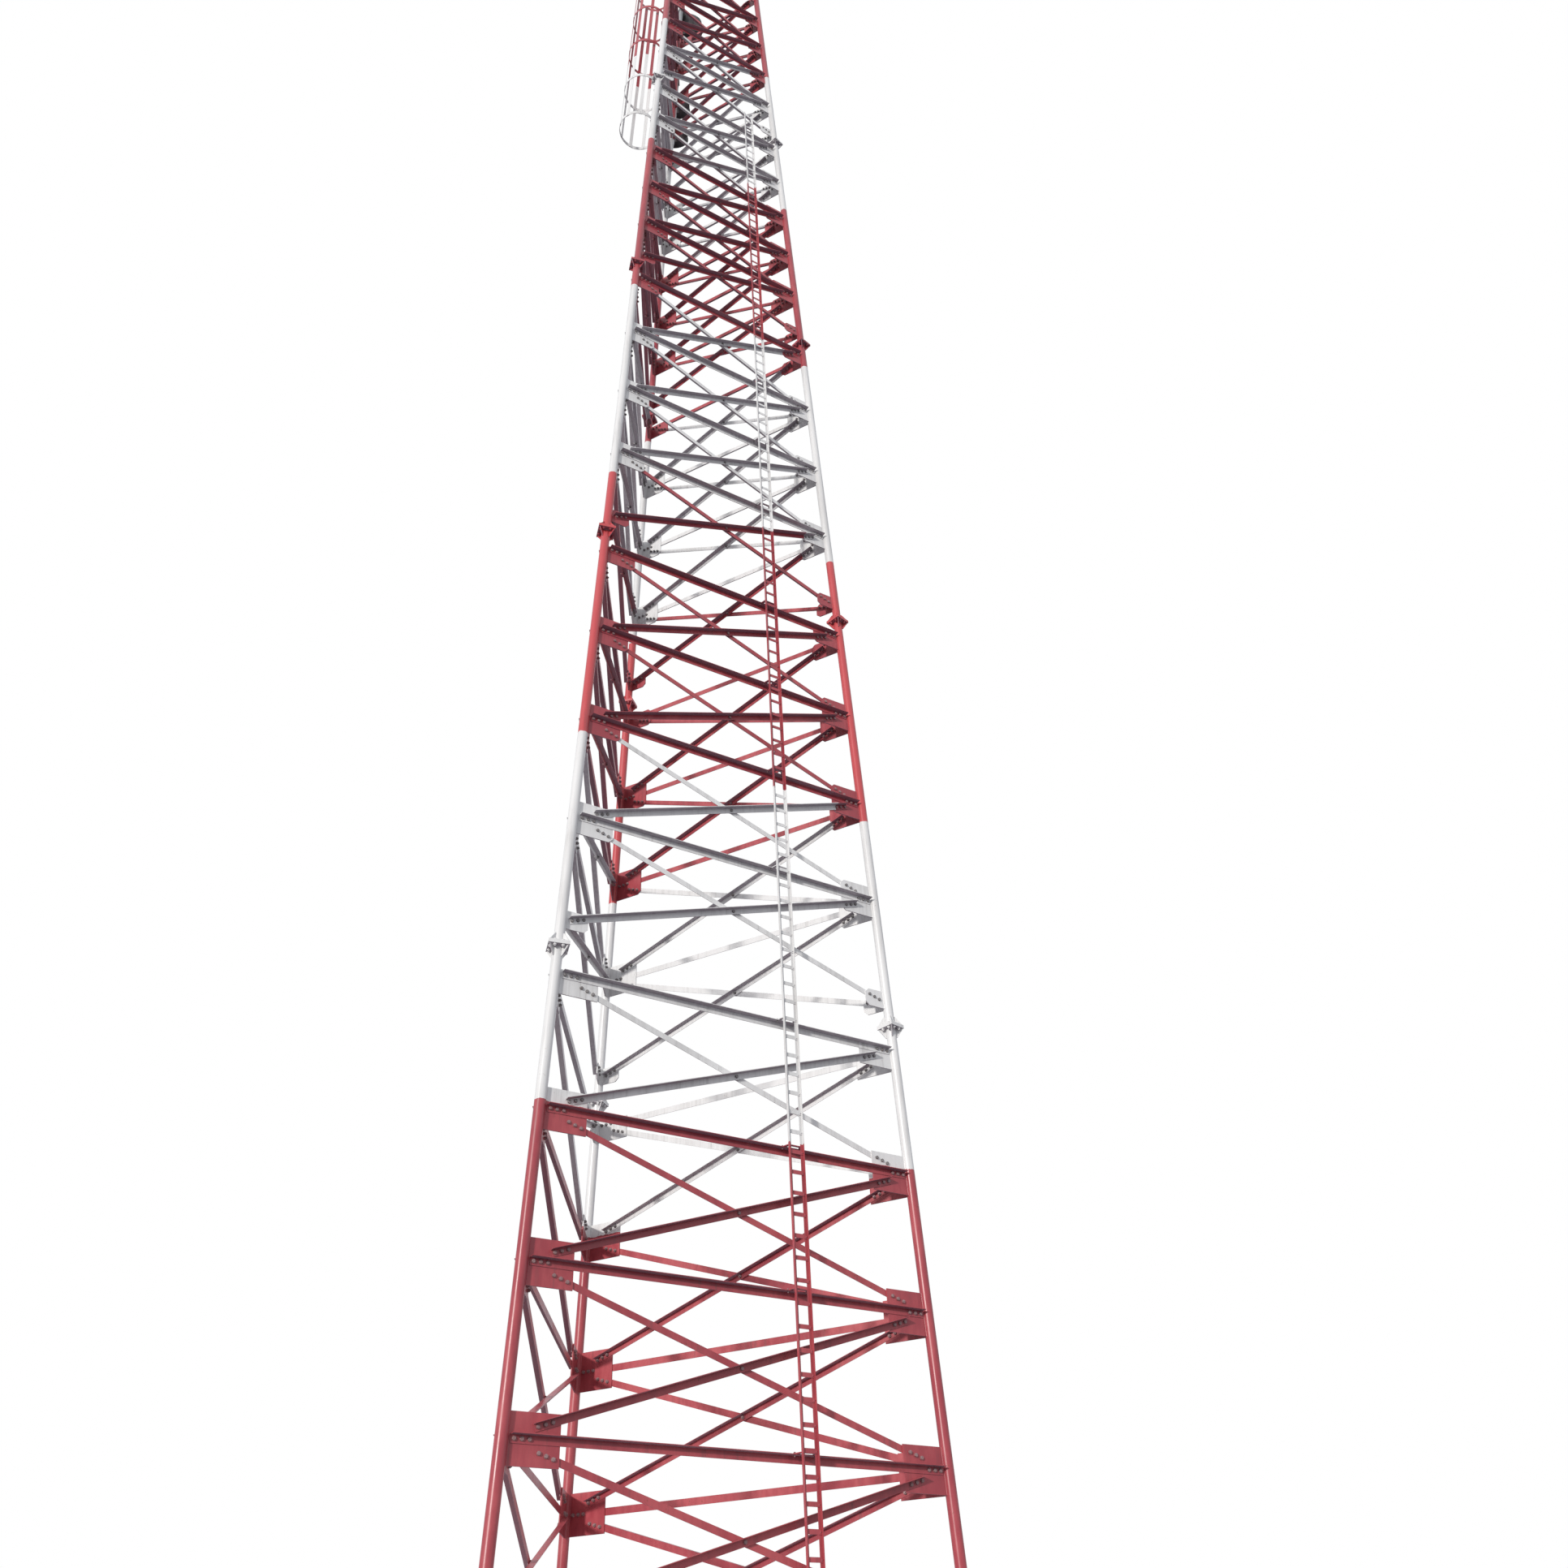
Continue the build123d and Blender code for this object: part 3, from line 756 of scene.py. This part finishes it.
def bent_rod(bend, leg):
    """Rod bent to a U: two straight legs and a half circle between them, with a round section
    carried along it. The half circle lies at negative x, and both legs point along x."""
    turn = np.linspace(math.pi / 2, 3 * math.pi / 2, 13)
    line = np.column_stack([bend * np.cos(turn), bend * np.sin(turn)])
    line = np.concatenate([[[leg, bend]], line, [[leg, -bend]]])
    away = np.concatenate([[[0, 1]], line[1:-1] / bend, [[0, -1]]])
    step = np.arange(rod_sides)
    after = (step + 1) % rod_sides
    ring = step * 2 * math.pi / rod_sides
    spot = line[:, None] + rod_radius * np.cos(ring)[None, :, None] * away[:, None]
    lift = np.tile(rod_radius * np.sin(ring), (len(line), 1))
    points = np.concatenate([spot, lift[..., None]], -1).reshape(-1, 3)
    base = np.arange(len(line) - 1)[:, None] * rod_sides
    faces = np.stack([base + step, base + rod_sides + step, base + rod_sides + after, base + after], -1)
    return points, faces.reshape(-1, 4)


def drum_fittings():
    """For each drum a band round the front of its shroud, with a ring of small bolts on it, and two
    bent rods round the pipe behind it. Where the pipe's arms end, a collar goes round the pipe
    and one round the leg, and a weld goes round the foot of the post."""
    way, side, axis = leg_axes(2, antenna_turn)
    lean = axis[2]
    tall = section_height * section_count
    foot = leg_point(2, 0)
    pipe_start = (tall - pipe_drop) / lean
    holders = [
        (pipe_start + share * pipe_length, pipe_reach, pipe_radius, small_drum)
        for share in drum_shares
    ]
    holders.append((tall / lean + large_drum_rise, 0.0, post_radius, large_drum))
    bands, metal = [], []
    single = alike(1, way, side, axis)
    for height, reach, tube, (radius, depth) in holders:
        middle = foot + height * axis + reach * way
        front = tube + band_share * depth - band_bevel
        band = hoop(radius, front - band_width, front, 64)
        bands.append(spread(band, middle[None], *alike(1, side, axis, way)))
        turn = (np.arange(band_bolts) + 0.5) * 2 * math.pi / band_bolts
        radial = np.cos(turn)[:, None] * side + np.sin(turn)[:, None] * axis
        around = np.cos(turn)[:, None] * axis - np.sin(turn)[:, None] * side
        spots = middle + (front - band_width / 2) * way + (radius + band_steel) * radial
        axes = [around, *alike(band_bolts, way), radial]
        metal.append(spread(bolt_head(), spots, *[band_bolt_share * unit for unit in axes]))
        rod = bent_rod(tube + rod_radius, tube + 2 * rod_radius)
        for lift in (-tube / 2, tube / 2):
            metal.append(spread(rod, (middle + lift * axis)[None], *single))
    for step in (arm_inset, pipe_length - arm_inset):
        for tube, reach in ((pipe_radius, pipe_reach), (leg_radius, 0.0)):
            spot = foot + (pipe_start + step + arm_steel / 2) * axis + reach * way
            metal.append(spread(hoop(tube, -collar_half, collar_half, 32), spot[None], *single))
    top = foot + tall / lean * axis
    metal.append(spread(weld_ring(post_radius, post_weld), top[None], *single))
    return bands, metal


shell_paint = drum_shell_paint("drum_shell_paint")
coat(dull_zinc, "antenna_pipe", "antenna_arms", "antenna_post")
coat(shell_paint, "small_drums", "large_drum")
drum_bands, drum_metal = drum_fittings()
build("drum_bands", drum_bands, shell_paint)
build("drum_clamps", drum_metal, dull_zinc)

# Studio: a pale round floor under the feet, even light from a bright sky, and one low, soft key
# light from the front left. The camera stands low in front of the mast and looks up.
floor_radius = 3.2
floor_sides = 96
floor_grey = (0.58, 0.58, 0.57, 1)
ground_light = (0.120, 0.106, 0.126, 1)
sky_light = (0.75, 0.77, 0.81, 1)
key_way = np.array([0.84, 0.48, -0.27])
view_place = (-3.9982, -10.9646, -0.4668)
view_turn, view_rise, view_roll = np.radians([31.87, 35.485, -1.83])
floor_turn = np.linspace(0, 2 * math.pi, floor_sides, endpoint=False)
floor_mesh = bpy.data.meshes.new("floor")
floor_edge = np.column_stack([np.cos(floor_turn), np.sin(floor_turn), np.zeros(floor_sides)])
floor_points = mast_axis + floor_radius * floor_edge
floor_mesh.from_pydata(floor_points.tolist(), [], [list(range(floor_sides))])
floor = placed("floor", floor_mesh)
floor_paint = bpy.data.materials.new("pale_floor")
floor_paint.use_nodes = True
floor_shader = floor_paint.node_tree.nodes["Principled BSDF"]
floor_shader.inputs["Base Color"].default_value = floor_grey
floor_shader.inputs["Roughness"].default_value = 0.9
floor_mesh.materials.append(floor_paint)

world = bpy.data.worlds.new("sky")
bpy.context.scene.world = world
world.use_nodes = True
air = Signal(world.node_tree)
upness = air.add("ShaderNodeTexCoord", {}, {}, "Generated").part(2)
light = upness.step(-0.75, 0.45).blend(ground_light, sky_light)
seen = air.add("ShaderNodeLightPath", {}, {}, 0).blend(light, (1.0, 1.0, 1.0, 1))
seen.into(world.node_tree.nodes["Background"].inputs["Color"])


def facing(across, upward, backward):
    """Turn of a lamp or camera, from its three axes."""
    return Matrix(np.column_stack([across, upward, backward]).tolist()).to_4x4()


key = bpy.data.lights.new("key", "SUN")
key.energy = 2.5
key.angle = math.radians(4)
key.color = (1.0, 0.965, 0.92)
lamp = placed("key", key)
key_way /= np.linalg.norm(key_way)
key_side = np.cross(key_way, [0, 0, 1])
key_side /= np.linalg.norm(key_side)
lamp.matrix_world = facing(key_side, np.cross(key_side, key_way), -key_way)

level = np.array([math.cos(view_turn), -math.sin(view_turn), 0])
inward = np.array([math.sin(view_turn), math.cos(view_turn), 0])
ahead = math.cos(view_rise) * inward + np.array([0, 0, math.sin(view_rise)])
above = np.cross(level, ahead)
rightward = level * math.cos(view_roll) + above * math.sin(view_roll)
upright = -level * math.sin(view_roll) + above * math.cos(view_roll)
eye = bpy.data.cameras.new("eye")
eye.sensor_width = 36.0
eye.lens = 31.172
eye.clip_end = 500
camera = placed("eye", eye)
camera.matrix_world = Matrix.Translation(view_place) @ facing(rightward, upright, -ahead)
bpy.context.scene.camera = camera
bpy.context.scene.view_settings.view_transform = "Standard"
